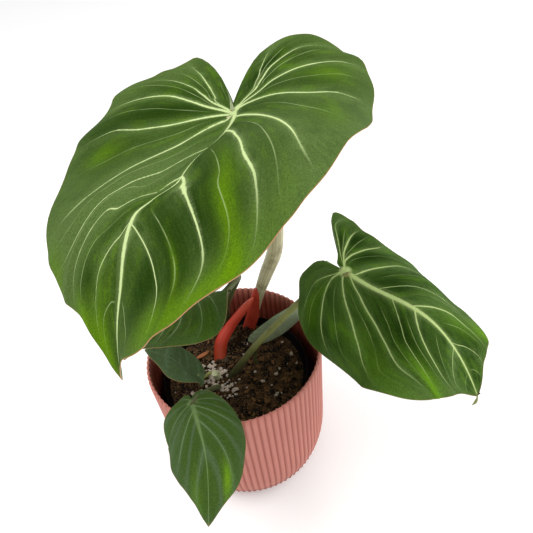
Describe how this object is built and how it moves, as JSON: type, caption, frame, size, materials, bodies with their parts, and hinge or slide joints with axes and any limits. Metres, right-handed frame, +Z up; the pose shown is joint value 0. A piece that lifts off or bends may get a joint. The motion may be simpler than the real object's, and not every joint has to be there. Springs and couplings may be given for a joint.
{
  "type": "potted philodendron plant",
  "caption": "Creeping philodendron with heart-shaped velvet leaves on long stalks, growing in a nursery pot inside a ribbed round cover pot.",
  "frame": {"origin": "middle of the cover pot's flat base", "axes": "+Z up along the cover pot's axis, -Y towards the front, +X to the right seen from the front"},
  "size_m": [0.2482, 0.2198, 0.3481],
  "materials": {
    "cover_pot": "matt salmon pink",
    "nursery_pot": "satin black",
    "leaf": "velvet green with pale veins",
    "turned_leaf": "pale green underside",
    "stalk": "smooth olive green",
    "rhizome": "rough brown",
    "red_sheath": "smooth coral red",
    "stub": "pale green",
    "soil": "dark crumbly mix with white grains",
    "dry_sheath": "dry brown"
  },
  "bodies": {
    "root": {"cover_pot": "cover_pot", "nursery_pot": "nursery_pot", "soil": "soil", "rhizome": "rhizome", "large_leaf_stalk": "stalk", "large_leaf_blade": "leaf", "right_leaf_stalk": "stalk", "right_leaf_blade": "leaf", "front_leaf_stalk": "stalk", "front_leaf_blade": "leaf", "shaded_leaf_stalk": "stalk", "shaded_leaf_blade": "leaf", "side_leaf_stalk": "stalk", "side_leaf_blade": "leaf", "turned_leaf_stalk": "stalk", "turned_leaf_blade": "turned_leaf", "red_horn": "red_sheath", "red_foot_wrap": "red_sheath", "old_stalk_stub": "stub", "dry_sheath_scrap": "dry_sheath"}
  },
  "joints": []
}
